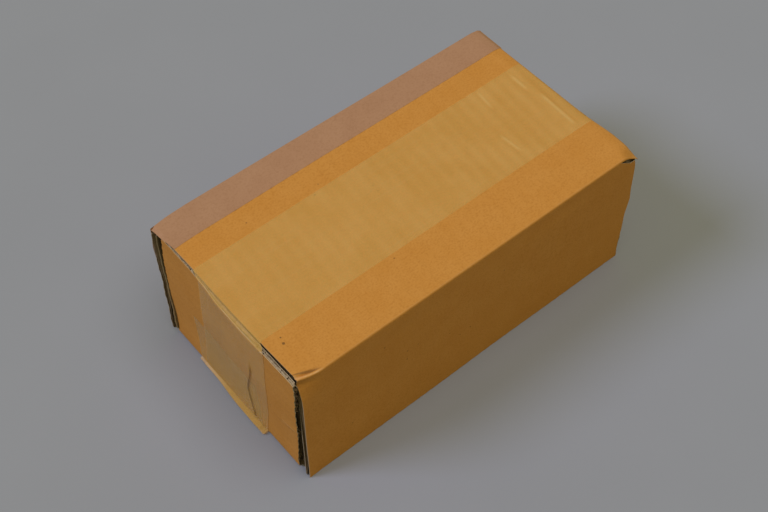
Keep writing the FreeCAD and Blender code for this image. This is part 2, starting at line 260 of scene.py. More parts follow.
def paper_pulp(name, base, light, dark, fleck, rough, relief, fibre=1.0, specks=()):
    """Unbleached paper: pulp clouds 10 to 20 mm wide, fibres along the sheet, sparse bark flecks,
    folds rubbed pale, a painted highlight where a facet catches the light, and painted shade in creases
    and hollows. Real fibres are 0.03 mm wide; they are drawn near 0.5 mm so that they show."""
    material, shader = surface(name)
    flat = add(material, "ShaderNodeAttribute", attribute_name="flat").outputs["Vector"]
    place = add(material, "ShaderNodeTexCoord").outputs["Object"]
    cloud = add(material, "ShaderNodeTexNoise", {"Vector": place, "Scale": 75.0, "Detail": 3.0})
    grain = add(material, "ShaderNodeTexNoise", {"Vector": place, "Scale": 1100.0, "Detail": 3.0})
    long_way = add(material, "ShaderNodeMapping", {"Vector": flat, "Scale": (420.0, 1500.0, 0.0)})
    fibres = add(
        material,
        "ShaderNodeTexNoise",
        {"Vector": long_way.outputs["Vector"], "Scale": 1.0, "Detail": 3.0, "Roughness": 0.65},
    )
    flecks = add(material, "ShaderNodeTexVoronoi", {"Vector": place, "Scale": 160.0})
    spot = levels(material, flecks.outputs["Distance"], 0.05, 0.09, 1.0, 0.0)
    cell = add(material, "ShaderNodeSeparateColor", {0: flecks.outputs["Color"]})
    rare = levels(material, cell.outputs[0], 0.86, 0.9)
    both = add(material, "ShaderNodeMath", {0: spot, 1: rare}, operation="MULTIPLY").outputs[0]
    wear_and_painted_light = add(material, "ShaderNodeSeparateXYZ", {"Vector": flat}).outputs["Z"]
    grains, strands = grain.outputs["Fac"], fibres.outputs["Fac"]
    pale = levels(material, wear_and_painted_light, 0, MM)
    rubbed = add(material, "ShaderNodeMath", {0: pale, 1: grains}, operation="MULTIPLY")
    shares = [
        (levels(material, cloud.outputs["Fac"], 0.35, 0.65, 0.0, 0.35), light),
        (levels(material, grains, 0.45, 0.8, 0.0, 0.6 * fibre), dark),
        (levels(material, strands, 0.5, 0.75, 0.0, 0.4 * fibre), light),
        # Above nought the wear number paints pale: rubbed wear, and a painted highlight on the crushed
        # fold's facet.
        (levels(material, rubbed.outputs[0], 0.1, 0.6, 0.0, 0.6), RUBBED_AND_HIGHLIGHT_KRAFT),
        # Below nought it paints dark: painted shade in creases, beside the scuff and in the crushed cut's
        # hollows.
        (levels(material, wear_and_painted_light, 0, -MM, 0.0, 0.6), CREASE_SHADE_KRAFT),
        (levels(material, both, 0.0, 1.0, 0.0, 0.55), fleck),
    ]
    for x, y, z, size in specks:
        spot_place = {0: place, 1: (x * MM, y * MM, z * MM)}
        apart = add(material, "ShaderNodeVectorMath", spot_place, operation="DISTANCE").outputs["Value"]
        shares.append((levels(material, apart, 0.5 * size * MM, 0.8 * size * MM, 0.75, 0.0), fleck))
    tone = colour(base)
    for factor, over_it in shares:
        tone = blend(material, factor, tone, colour(over_it))
    into(material, tone, shader, "Base Color")
    spread = ROUGHNESS_SPREAD
    into(material, levels(material, grains, 0.3, 0.7, rough - spread, rough + spread), shader, "Roughness")
    height = add(material, "ShaderNodeMath", {0: grains, 1: strands}, operation="ADD")
    bump = add(
        material,
        "ShaderNodeBump",
        {"Strength": relief, "Distance": 0.00016, "Height": height.outputs[0]},
    )
    into(material, bump.outputs["Normal"], shader, "Normal")
    shader.inputs["Specular IOR Level"].default_value = 0.18
    return material


KRAFT_SPECKS = [
    (-87.3, -28.8, TOP_Z, 0.6),
    (-88.1, -31.9, TOP_Z, 1.0),
    (-96.6, -28.4, 35.0, 0.8),
    (-30.0, 21.5, TOP_Z, 0.7),
]
# Kraft liner board, calendered once: matte, warm brown, with long fibres and a few dark specks.
kraft_tones = "#bd8037", "#c68c45", "#a56a28", "#5d4022"
kraft = paper_pulp("kraft_liner_calendered", *kraft_tones, 0.82, 0.3, specks=KRAFT_SPECKS)
# The knife-cut edge of the board: frayed pale fibre ends, quite rough.
cut_edge = paper_pulp("board_edge_knife_cut", "#a08d74", "#b09c82", "#7c6850", "#5d4022", 0.93, 0.9)
# Fluting medium, the wavy sheet: greyer recycled pulp, dull, and darkened further as painted shade for the
# hollows between the flutes; it also colours the liners' inside faces, as painted shade inside the board and
# the box.
fluting = paper_pulp("fluting_medium_rolled", "#6e5b42", "#7d694e", "#4f4030", "#35281a", 0.93, 0.6)


def settle(points):
    """How the taped parcel departs from a true block, for all that lies on its outside.
    The back edge stands out towards the near end, and the back wall bows out beside the near flap."""
    x, y, z = points[..., 0], points[..., 1], points[..., 2]
    back = ramp(y, 25, 50)
    near_half, far_half = ((-97, 0.3), (-88, 1.4), (-77, 1.7), (-42, 1.3)), ((32, 0.4), (71, 0))
    out = table(x, *near_half, (-6, 0.9), *far_half, (95, -0.2))
    high = ramp(z, 20, 70)
    low, high_up = ((0, -1.0), (15, -0.7), (35, -0.2), (48, 0.1)), ((63, 1.0), (70, 0.8), (80, 0))
    wall = table(z, *low, (53, 0.3), *high_up)
    y = y + back * (out * high + wall * bell(x, -97, 12))
    return joined(x, y, z)


def far_bulge(points):
    """The far flap stands off the tray: its fold is askew, and below it the flap swells outwards,
    least where the packing tape holds it, and springs out most at its front cut."""
    x, y, z = points[..., 0], points[..., 1], points[..., 2]
    askew = np.clip(0.3 + (40 - y) / 90 * 1.6, 0.2, 2.0) + 1.2 * bell(y, -37, 12)
    by_floor = (0, 1.4), (4, 0.9), (11, 1.0), (16, 2.2)
    bow = table(z, *by_floor, (23, 2.8), (32, 2.4), (43, 3.8), (55, 3.5))
    bow = np.where(z > 55, table(z, (55, 3.5), (62, 3.1), (72, 3.0), (76, 1.7), (80.25, 0)), bow)
    sprung = 0.4 + 0.6 * ramp(-y, 24, 52)
    z = z - 1.1 * ramp(x, 88, 97) * ramp(z, 70, 78)
    x = x + ramp(x, 78, 92) * (askew + bow * sprung)
    return joined(x, y, z)


def lid_shape(points, sprung=True):
    """The lid's own wear. Its near edge bellies out behind the near flap; the near end of its front
    fold is crushed: a crease runs in from the edge, and the fold beyond it is rolled inwards."""
    x, y, z = points[..., 0], points[..., 1], points[..., 2]
    edge = table(y, (-52, 0.45), (-30, -0.1), (-5, -0.35), (25, 0.0), (40, -0.15), (52, 0.3))
    x = x + edge * (1 - ramp(x, -95, -70))
    reach = np.clip((x + 95) / 13, 0, 1)
    crush = (1 - reach) ** 1.6
    by_fold = (80.25, 2.6), (77.5, 3.3), (75, 3.6), (72, 1.9)
    inward = table(z, *by_fold, (66, 0.5), (60, 0), (0, -0.3))
    front = ramp(-y, 44, 50)
    y = y + inward * crush * front
    line = CREASE_Y - CREASE_TURN * np.clip((x - NEAR_X) / CREASE_REACH, 0, 1)
    fade = 1 - ramp(x, -89, -81)
    top_side = ramp(z, 77, 79)
    groove = 1.0 * bell(y, line, 0.5)
    sunk = groove + 0.7 * ramp(line - y, -0.25, 0.55) - 0.35 * ramp(line - y, 0.8, 3.2)
    z = z - sunk * fade * top_side
    z = z - 4.4 * ramp(x, 88, 96) * ramp(-y, 45, 51.5) * (1 - ramp(TOP_Z - z, 5, 16))
    on_top = ramp(z, 76, 79.5) * ramp(-np.abs(y), -50, -40) * ramp(-np.abs(x), -93, -80)
    z = z + on_top * swell(x, y, z, 0.28)
    on_front = ramp(-y, 47, 48.5) * ramp(-z, -76, -66)
    y = y + on_front * swell(x, z, y, 0.3)
    points = settle(joined(x, y, z))
    return far_bulge(points) if sprung else points


LID_X = [(NEAR_X, 0), (FAR_X, 0), (FAR_X, HEIGHT)]
LID_X_MOVES = [(0, 1), (-1, 1), (-1, 0)]
LID_Y = [(BACK_Y, 0), (FRONT_Y, 0), (FRONT_Y, HEIGHT)]
LID_Y_MOVES = [(0, 1), (1, 1), (1, 0)]
FOLD_PARTS = np.linspace(0, 1, 7)


def wave_of(flat_s, flat_t):
    """The flutes' wave over a flat sheet: it runs along the sheet, a little askew to the cuts."""
    return 2 * math.pi * (flat_s * math.cos(SKEW) + flat_t * math.sin(SKEW)) / PITCH


def board_layers(place_of, grids, kept_of, core_of, flat_of, crest, wear_and_light_of):
    """The three layers of a sheet of board, each a closed shell over its own grid of places.
    The liner sinks by SAG between crests; the fluting's middle is half way down, less A cos(wave)."""
    made = []
    swing = (BOARD - 2 * LINER - FLUTING) / 2
    for kind, (s, t) in enumerate(grids):
        flat_s, flat_t = flat_of(s, t)
        wave = wave_of(flat_s, flat_t) + crest
        hollow = SAG * (0.5 - 0.5 * np.cos(wave))
        middle = BOARD / 2 - swing * np.cos(wave)
        depths = [
            (hollow, hollow + LINER),
            (middle - FLUTING / 2, middle + FLUTING / 2),
            (np.full_like(hollow, BOARD - LINER), np.full_like(hollow, BOARD)),
        ][kind]
        outer, inner = (place_of(s[:, None], t[None, :], depth) for depth in depths)
        middles = (s[1:] + s[:-1])[:, None] / 2, (t[1:] + t[:-1])[None, :] / 2
        kept = kept_of(*middles) & (core_of(*middles) | (kind != 1))
        flat = joined(flat_s, flat_t, wear_and_light_of(flat_s, flat_t) * (kind == 0))
        # The outer liner's back and both faces of the inner liner take the darkened fluting material:
        # painted shade in the flute hollows and inside the box.
        marks = [(0, 2, 1), (0, 0, 0), (2, 2, 1)][kind]
        made.append((outer, inner, kept, flat, *marks))
    return made


def lid_place(s, t, depth):
    """Where a place of the flat lid sheet comes to lie: along x and down, across y and down."""
    s, t = np.broadcast_arrays(s, t)
    along = folded(s, depth, LID_X, LID_X_MOVES, [FOLD_R])
    across = folded(t, depth, LID_Y, LID_Y_MOVES, [FRONT_FOLD_R])
    x, y = along[..., 0], across[..., 0]
    drop = along[..., 1] + across[..., 1] - depth
    hangs = ramp(along[..., 1] - depth, 0.5, 4) * (across[..., 1] - depth < 0.01)
    tucked = table(drop, (0, 0), (8, 1.1), (60, 1.1), (66, -0.9), (HEIGHT, -0.9))
    y = y + tucked * hangs * ramp(-y, 40, FRONT_FOLD_R - FRONT_Y - 1)
    upper_cut = (0, 3.5), (2, 6.2), (6, 7.0), (30, 7.6), (36, 8.4)
    lower_cut = (47, 6.8), (58, 6.8), (66, 6.2), (72, 5.8), (HEIGHT, 6.4)
    longer = table(drop, *upper_cut, *lower_cut)
    on_front = (t > 2.001) & (s < 1)
    end = ramp(x, 62, LID_FRONT_END) * on_front
    drop = drop + 0.1 * end * ramp(x, 86, LID_FRONT_END) * (1 - ramp(drop, 5, 16))
    x = x + longer * end
    points = joined(x, y, TOP_Z - drop)
    return np.where(on_front[..., None], lid_shape(points, sprung=False), lid_shape(points))


LID_SLIT = share([LID_FRONT_END], NEAR_X, FAR_X - FOLD_R)[0]


def lid_kept(s, t):
    """The sheet as cut: no board in the corner between the two flaps, but for the front fold, which
    is rolled down over the far one, with a slit under it."""
    slit = (t > 2) & (t < 2.008) & (s > LID_SLIT - 0.03)
    return (t < 1) | (s < LID_SLIT) & ~slit | (t < 2) & (s < 2)


def lid_wear_and_painted_light(flat_s, flat_t):
    """Folds and the near edge rubbed pale; painted shade in a crease in from the near front corner, and a
    painted highlight on the facet beside it.
    """
    far_fold, near_edge = bell(flat_s, LENGTH - FOLD_R / 2, 1.0), bell(flat_s, 0, 0.8)
    front_fold = bell(flat_t, WIDTH - FOLD_R / 2, 0.9)
    rubbed = 0.5 * far_fold + 0.4 * near_edge + 0.4 * front_fold
    crease_t = BACK_Y - CREASE_Y + CREASE_TURN * np.clip(flat_s / CREASE_REACH, 0, 1)
    # Painted shade along the crease, then a painted highlight on the facet that faces the light.
    crease_shade = 1.7 * bell(flat_t, crease_t - 0.2, 0.4) * (1 - ramp(flat_s, 8, 13))
    facet_highlight = 0.8 * bell(flat_t, crease_t + 1.6, 0.8) * (1 - ramp(flat_s, 8, 15))
    return rubbed + facet_highlight - crease_shade


def flat_lid(s, t):
    """Distances along the outer face of the flat sheet."""
    bend, flap = FOLD_R * math.pi / 2, HEIGHT - FOLD_R
    s_run = np.interp(s, range(4), np.cumsum([0, LENGTH - FOLD_R, bend, flap]))
    t_run = np.interp(t, range(4), np.cumsum([0, WIDTH - FOLD_R, bend, flap]))
    return np.broadcast_arrays(s_run[:, None], t_run[None, :])


TOP_X = (NEAR_X, FAR_X - FOLD_R)
TOP_Y = (BACK_Y, FRONT_Y + FOLD_R)
FLAP_RUN = (0, HEIGHT - FOLD_R)


def lid_grid(step, broad, close, folds):
    """Grid places of the flat lid: a step along it, a broad step across, a close one by the fold."""
    along = lines((NEAR_X, LID_FRONT_END, step), (LID_FRONT_END, FAR_X - FOLD_R, 0.7))
    across = lines((BACK_Y, -40, broad), (-40, -46.5, close), (-46.5, FRONT_Y + FOLD_R, close / 2))
    parts = FOLD_PARTS[::folds]
    down = share(lines((0, 16, close), (16, HEIGHT - FOLD_R, broad)), *FLAP_RUN)
    s = stations(share(along, *TOP_X), parts, share(lines((*FLAP_RUN, step)), *FLAP_RUN))
    return s, stations(share(across, *TOP_Y), parts, down)


lid_grids = [lid_grid(PITCH / 8, 3.6, 0.8, 1), lid_grid(PITCH / 9, 8, 2, 2), lid_grid(2.5, 5, 2, 2)]
LID_CREST, TRAY_CREST = 0.4, 2.2
lid_layers = board_layers(lid_place, lid_grids, lid_kept, lid_kept, flat_lid, LID_CREST, lid_wear_and_painted_light)
lid = closed_sheet("lid_liners", [lid_layers[0], lid_layers[2]], [kraft, cut_edge, fluting])
lid_core = closed_sheet("lid_fluting", [lid_layers[1]], [fluting])
for piece in (lid, lid_core):
    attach(piece, "root")
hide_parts("lid_board")

# ---------------------------------------------------------------------------------------------
# The tray: a second sheet of the same board, folded into the bottom, the near flap, the far wall
# and the two long walls. The near flap is folded askew, leans out and stands in front of the lid.
# ---------------------------------------------------------------------------------------------

TRAY_FRONT_Y = FRONT_Y + BOARD + 0.3
TRAY_FAR_X = FAR_X - BOARD - 0.3
WALL = HEIGHT - BOARD - 0.3
FLAP_BACK_Y = BACK_Y - BOARD - 0.3
FLAP_FRONT_Y = TRAY_FRONT_Y + BOARD + 0.7
FAR_FRONT_Y = TRAY_FRONT_Y + BOARD + 0.3
TRAY_X = [(NEAR_X, HEIGHT), (NEAR_X, 0), (TRAY_FAR_X, 0), (TRAY_FAR_X, WALL)]
TRAY_X_MOVES = [(1, 0), (1, 1), (-1, 1), (-1, 0)]
TRAY_Y = [(BACK_Y, WALL), (BACK_Y, 0), (TRAY_FRONT_Y, 0), (TRAY_FRONT_Y, WALL)]
TRAY_Y_MOVES = [(-1, 0), (-1, 1), (1, 1), (1, 0)]
NEAR_FLAP_FRONT_CUT = [
    *((0, -45), (10, -45.1), (24, -46.6), (37, -48.3)),
    *((45, -48.6), (55, -49.1), (67, -50), (80, -50.2)),
]
NEAR_FLAP_BACK_CUT = [
    *((0, 50.3), (15, 50.1), (31, 49.0), (39, 48.2)),
    *((55, 46.8), (63, 46.0), (71, 45.6), (80, 45.1)),
]


def near_lean(y, rise):
    """How far the near flap leans out: most at its front, where the lid's edge pushes it."""
    back_half = (50, 1.1), (30, 1.2), (20, 1.3), (13, 1.5), (8, 1.95)
    front_half = (3, 2.4), (-2, 2.65), (-15, 2.85), (-50, 2.6)
    return table(y, *back_half, *front_half) * rise / HEIGHT


def near_drop(y):
    """How far the near flap's top cut lies under the lid's top: most where the tape pulls it."""
    return table(y, (50, 0.2), (24, 0.3), (10, 1.1), (-18, 1.2), (-26, 0.8), (-50, 0.7))


def near_bow(z):
    """The near flap's own slow bow, which the packing tape follows: A sin(z / 13 + 0.5)."""
    return 0.35 * np.sin(z / 13 + 0.5) * ramp(z, 3, 20) * (1 - ramp(z, 60, 78))


def tray_place(s, t, depth):
    """Where a place of the flat tray sheet comes to lie: along x and up, across y and up.
    The near flap is leant out and its side cuts wander; the long walls reach past the bottom."""
    along = folded(s, depth, TRAY_X, TRAY_X_MOVES, [FOLD_R, FOLD_R])
    across = folded(t, depth, TRAY_Y, TRAY_Y_MOVES, [FOLD_R, FOLD_R])
    x, y = along[..., 0], across[..., 0]
    rise = along[..., 1] + across[..., 1] - depth
    z = FLOOR_Z + rise
    on_flap = (s < 2) & (t >= 2) & (t <= 3)
    front_cut = table(z, *NEAR_FLAP_FRONT_CUT)
    back_cut = table(z, *NEAR_FLAP_BACK_CUT)
    ragged = (0.22 * np.sin(z * 0.98) + 0.15 * np.sin(z * 2.3 + 1)) * ramp(z, 2, 8)
    shift = (front_cut - FLAP_FRONT_Y + ragged) * np.clip(-y / -FLAP_FRONT_Y, 0, 1)
    shift = shift + (back_cut - FLAP_BACK_Y + ragged) * np.clip(y / FLAP_BACK_Y, 0, 1)
    y = np.where(on_flap, y + shift, y)
    round_off = 1.0 * ramp(y, 43.5, 45.5) + 0.8 * ramp(-y, 48.5, 50.4)
    wavering = 0.12 * np.sin(y * 1.3) + 0.1 * np.sin(y * 0.45)
    z = np.where(on_flap, z - (round_off + wavering + near_drop(y)) * ramp(z, 70, 80), z)
    x = np.where(on_flap, x - near_lean(y, z - FLOOR_Z), x)
    squeezed = BOARD - table(y, (-50, 1.9), (-18, 2.1), (-10, 2.5), (5, 2.1), (20, 1.2), (50, 1.0))
    x = np.where(on_flap, x - depth / BOARD * squeezed * ramp(z, 74, 77.5), x)
    scuff = 31.9 - (y + 34.1) * 0.43
    x = np.where(on_flap, x - 0.35 * bell(z, scuff, 0.9) * ramp(-y, 32, 35) * (z > 5), x)
    x = np.where(on_flap, x + near_bow(z), x)
    on_wall = (s >= 2) & (s <= 3) & ((t <= 1) | (t >= 4))
    lifted = ramp(rise, 1.5, 4)
    near_end = (np.where(t <= 1, -1.8, 1.5) - FOLD_R) * lifted * (1 - ramp(x, -93, -70))
    far_end = FOLD_R * lifted * ramp(x, 70, 89.7)
    x = np.where(on_wall, x + near_end + far_end, x)
    chewed = 0.15 * np.sin(z * 0.31 + 1) + 0.1 * np.sin(z * 0.97)
    x = np.where(on_wall, x + chewed * lifted * (1 - ramp(x, -95, -88)), x)
    return settle(joined(x, y, z))


BOTTOM_X = (NEAR_X + FOLD_R, TRAY_FAR_X - FOLD_R)
BOTTOM_Y = (BACK_Y - FOLD_R, TRAY_FRONT_Y + FOLD_R)
FLAP_T = 2 + share([FLAP_BACK_Y, FLAP_FRONT_Y], *BOTTOM_Y)
FAR_T = 2 + share([FLAP_BACK_Y, FAR_FRONT_Y], *BOTTOM_Y)


def tray_kept(s, t):
    """The sheet as cut: the bottom with its long walls, the near flap and the far wall."""
    flap = (s < 2) & (t > FLAP_T[0]) & (t < FLAP_T[1])
    far = (s > 3) & (t > FAR_T[0]) & (t < FAR_T[1])
    return (s > 2) & (s < 3) | flap | far


def tray_core_kept(s, t):
    """The fluting is torn back by 5 mm in two long pockets of the near flap's front cut."""
    down = s * (HEIGHT - FOLD_R)
    pocket = ((down > 24) & (down < 43)) | ((down > 49) & (down < 71))
    in_pocket = (s < 1) & (t > FLAP_T[1] - 5 / (BOTTOM_Y[0] - BOTTOM_Y[1])) & pocket
    return ~in_pocket


def tray_wear_and_painted_shade(flat_s, flat_t):
    """The folds and the near flap's top cut rubbed pale, and one pale scuff low on the near flap with a line
    of painted shade just below it.
    """
    rubbed = 0.7 * bell(flat_s, HEIGHT - FOLD_R / 2, 1.0) + 0.6 * bell(flat_s, 0, 0.8)
    start_t = WALL - FOLD_R + FOLD_R * math.pi / 2 + BOTTOM_Y[0] + 34.1
    line_s = 48.3 - (flat_t - start_t) * 0.43
    along = ramp(flat_t, start_t - 1.5, start_t + 1) * (1 - ramp(flat_t, start_t + 8, start_t + 11))
    # The scuff's pale line, then a line of painted shade 1.5 mm lower.
    return rubbed + (2.0 * bell(flat_s, line_s, 0.6) - 0.5 * bell(flat_s, line_s + 1.5, 0.7)) * along


def crushed_cut():
    """The near flap's top cut: liners and fluting crushed to one frayed pale band, with notches."""
    t = 2 + share(lines((FLAP_BACK_Y, FLAP_FRONT_Y, 0.5)), *BOTTOM_Y)
    before = WALL - FOLD_R + FOLD_R * math.pi / 2
    flat_t = np.interp(t, [2, 3], np.cumsum([before, BOTTOM_Y[0] - BOTTOM_Y[1]]))
    depth = np.linspace(0.1, BOARD - 0.1, 6)[None, :]
    place = flat_t[:, None]
    threads = np.sin(place * 2.3 + 4 * np.sin(place * 0.7)) * np.sin(place * 0.9 + depth * 1.8)
    frayed = 0.5 + 0.5 * threads
    starts = [(start + 0.5 * frayed) / (HEIGHT - FOLD_R) for start in (0.1, 1.2)]
    faces = [tray_place(start, t[:, None], depth) for start in starts]
    notch = np.sin(place * 1.3 + 1.0) + np.sin(place * 3.1) + np.sin(place * 0.37 + 2)
    notch = notch + 0.5 * np.cos(depth * 2.5)
    # The third number paints the cut darker where its fibres lie deeper: painted shade in the recesses.
    flat = joined(0.5 + 0 * frayed, place, -0.5 * frayed)
    return (*faces, (notch < 1.75)[:-1, :-1], flat, 1, 1, 1)


def flat_tray(s, t):
    """Distances along the outer face of the flat sheet."""
    bend = FOLD_R * math.pi / 2
    s_run = np.cumsum([0, HEIGHT - FOLD_R, bend, BOTTOM_X[1] - BOTTOM_X[0], bend, WALL - FOLD_R])
    t_run = np.cumsum([0, WALL - FOLD_R, bend, BOTTOM_Y[0] - BOTTOM_Y[1], bend, WALL - FOLD_R])
    flat_s, flat_t = np.interp(s, range(6), s_run), np.interp(t, range(6), t_run)
    return np.broadcast_arrays(flat_s[:, None], flat_t[None, :])


def tray_grid(step, broad, close, folds):
    """Grid places of the flat tray, with lines on the side cuts of the near flap and the far wall."""
    parts = FOLD_PARTS[::folds]
    flap = share(lines((0, 12, min(step, 1)), (12, HEIGHT - FOLD_R, step)), *FLAP_RUN)
    bottom = lines((BOTTOM_X[0], -78, min(step, 1)), (-78, BOTTOM_X[1], 2 * step))
    far = share(lines((0, WALL - FOLD_R, 2 * step)), 0, WALL - FOLD_R)
    s = stations(flap, parts, share(bottom, *BOTTOM_X), parts, far)
    wall = share(lines((0, WALL - FOLD_R, close)), 0, WALL - FOLD_R)
    middle = lines(
        (BOTTOM_Y[0], FLAP_BACK_Y, 1),
        (FLAP_BACK_Y, 38, close),
        (38, -38, broad),
        (-38, FLAP_FRONT_Y, close),
        (FLAP_FRONT_Y, FAR_FRONT_Y, 1),
        (FAR_FRONT_Y, BOTTOM_Y[1], 1),
    )
    return s, stations(wall, parts, share(middle, *BOTTOM_Y), parts, wall)


tray_grids = [tray_grid(PITCH / 8, 4, 1.5, 1), tray_grid(PITCH / 9, 8, 3, 2), tray_grid(3, 6, 3, 2)]
tray_cuts = tray_kept, tray_core_kept
tray_layers = board_layers(tray_place, tray_grids, *tray_cuts, flat_tray, TRAY_CREST, tray_wear_and_painted_shade)
tray_shells = [tray_layers[0], tray_layers[2], crushed_cut()]
tray = closed_sheet("tray_liners", tray_shells, [kraft, cut_edge, fluting])
tray_core = closed_sheet("tray_fluting", [tray_layers[1]], [fluting])
for piece in (tray, tray_core):
    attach(piece, "root")
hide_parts("tray_board")

# ---------------------------------------------------------------------------------------------
# Gummed paper: a strip of duller, pinkish kraft paper stuck over the long back edge, half on the
# top and half on the back wall. Its near end is cut askew, overhangs the board and droops a little.
# ---------------------------------------------------------------------------------------------

PAPER = 0.16
PAPER_EDGE = 0.03
PAPER_LENGTH = 192
PAPER_IN_Y = 36.3
PAPER_ON_BACK = 22.0
PAPER_X = [(PAPER_IN_Y, 0), (BACK_Y, 0), (BACK_Y, PAPER_ON_BACK)]
PAPER_MOVES = [(0, 1), (-1, 1), (-1, 0)]

gummed_tones = "#a3795b", "#ad8465", "#8f684a", "#6a4c36"
gummed = paper_pulp("gummed_paper_unglazed", *gummed_tones, 0.9, 0.3, 0.8)


def paper_place(s, t, depth):
    """A place of the flat strip: s runs along it from 0 to 1, t across it and down the back."""
    across = folded(t, depth, PAPER_X, PAPER_MOVES, [0.2])
    y, drop = across[..., 0], across[..., 1]
    start = np.interp(t, [0, 1, 3], [-95.1, -97.0, -97.2]) + 0.12 * np.sin(t * 9)
    x = start + (FAR_X + 0.1 - start) * s
    droop = 1.2 * (1 - ramp(x, -97.4, -94.2)) * ramp(y, 37, 50)
    z = TOP_Z - drop - droop * (t < 1.5)
    z = z - ramp(x, 92.5, 95.2) ** 2
    return lid_shape(joined(x, y, z))


paper_s = share(lines((0, 8, 0.4), (8, 186, 3), (186, PAPER_LENGTH, 0.5)), 0, PAPER_LENGTH)
paper_over = np.concatenate([[0, 0.05, 0.1], np.linspace(0.15, 1, 12)])
paper_t = stations(paper_over, np.linspace(0, 1, 6), np.linspace(0, 1, 14))
thinning = ramp(paper_t, 0, 0.1)[None, :] * (1 - ramp(paper_t, 2.9, 3))[None, :]
thick = PAPER_EDGE + (PAPER - PAPER_EDGE) * thinning
paper_faces = [paper_place(paper_s[:, None], paper_t[None, :], d) for d in (-thick - 0.02, -0.02)]
paper_across = np.interp(paper_t, [0, 1, 2, 3], [0, 15, 17, 38])[None, :]
paper_flat = np.broadcast_arrays(paper_s[:, None] * PAPER_LENGTH, paper_across, 0)
whole = np.ones((len(paper_s) - 1, len(paper_t) - 1), bool)
paper_shell = (*paper_faces, whole, np.stack(paper_flat, -1), 0, 0, 0)
paper = closed_sheet("gummed_paper", [paper_shell], [gummed])
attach(paper, "root")
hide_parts("paper_tape")

# ---------------------------------------------------------------------------------------------
# Packing tape: one long strip of clear tan film, 48 mm wide. It starts half way up the near end,
# runs under the bottom, up the far end, over the top, down over its own start and under again.
# ---------------------------------------------------------------------------------------------

FILM = 0.06
LAP = 0.15
TAPE_WIDTH = 48.0
TAPE_START_Z = 38.0
TAPE_END_X = 15.0
TAPE_WAY = [
    (NEAR_X, TAPE_START_Z),
    (NEAR_X, FLOOR_Z),
    (FAR_X, FLOOR_Z),
    (FAR_X, TOP_Z),
    (NEAR_X - LAP, TOP_Z),
    (NEAR_X - LAP, FLOOR_Z - 0.12),
    (TAPE_END_X, FLOOR_Z - 0.12),
]
TAPE_MOVES = [(1, 0), (1, 1), (-1, 1), (-1, -1), (1, -1), (1, 1), (0, 1)]
TAPE_RADII = [FOLD_R, 0.3, FOLD_R, 0.5, FOLD_R + LAP]
WRINKLE = ((0, -14.8), (13.6, -13), (20.8, -12.1), (29.7, -12), (50.9, -18.1), (61.3, -18.3))


def packing_film(name):
    """Polypropylene film with tan glue: glossy and half clear, so that the kraft shows through it,
    with fine lengthwise draw lines and cloudy patches where the glue hasn't wetted the paper."""
    material, shader = surface(name)
    flat = add(material, "ShaderNodeAttribute", attribute_name="flat").outputs["Vector"]
    drawn = add(material, "ShaderNodeMapping", {"Vector": flat, "Scale": (14.0, 900.0, 1.0)})
    ripples = add(material, "ShaderNodeMapping", {"Vector": flat, "Scale": (240.0, 60.0, 1.0)})
    streak, patch, ripple = (
        add(material, "ShaderNodeTexNoise", {"Vector": way, "Scale": scale, "Detail": detail}).outputs["Fac"]
        for way, scale, detail in (
            (drawn.outputs["Vector"], 1.0, 2.0),
            (flat, 55.0, 4.0),
            (ripples.outputs["Vector"], 1.0, 1.0),
        )
    )
    fold = add(material, "ShaderNodeSeparateXYZ", {"Vector": flat}).outputs["Z"]
    tone = colour("#e0b160")
    for factor, over_it in (
        (levels(material, patch, 0.4, 0.62), "#e5b869"),
        (levels(material, streak, 0.55, 0.75, 0.0, 0.3), "#eac27c"),
        # Pale above nought: film standing off, and painted highlight on flute-row crests and the wrinkle's
        # lit side.
        (levels(material, fold, 0, MM), "#fff0a8"),
        # Dark below nought: painted shade in flute-row troughs and on the wrinkle's shaded side, where the
        # film also lies double.
        (levels(material, fold, 0, -MM), "#8a5f20"),
    ):
        tone = blend(material, factor, tone, colour(over_it))
    into(material, tone, shader, "Base Color")
    into(material, levels(material, patch, 0.3, 0.7, 0.22, 0.34), shader, "Roughness")
    height = add(material, "ShaderNodeMath", {0: streak, 1: 0.25}, operation="MULTIPLY")
    height = add(material, "ShaderNodeMath", {0: height.outputs[0], 1: ripple}, operation="ADD")
    bump = {"Strength": 0.35, "Distance": 0.0002, "Height": height.outputs[0]}
    into(material, add(material, "ShaderNodeBump", bump).outputs["Normal"], shader, "Normal")
    shader.inputs["IOR"].default_value = 1.5
    shader.inputs["Specular IOR Level"].default_value = 0.3
    shader.inputs["Coat Weight"].default_value = 0.12
    shader.inputs["Coat Roughness"].default_value = 0.12
    shader.inputs["Alpha"].default_value = 0.3
    return material


film = packing_film("polypropylene_film_glossy")


TAPE_LEAVES, TAPE_BENDS = 94.0, 95.15
TAPE_RIDGES = [(88, 0.03, -24, 3), (56, -0.09, -20, -4), (64, 0.12, 8, 23), (85.3, 0.01, 6, 21)]


def tape_ridges(x, y, width):
    """Short creases of the film on the top: each lies on x = a + turn * y and ends softly."""
    total = 0
    for ridge_x, turn, low_y, high_y in TAPE_RIDGES:
        ends = ramp(y, low_y, low_y + 5) * ramp(-y, -high_y, 5 - high_y)
        total = total + 0.3 * bell(x, ridge_x + turn * y, width) * ends
    return total


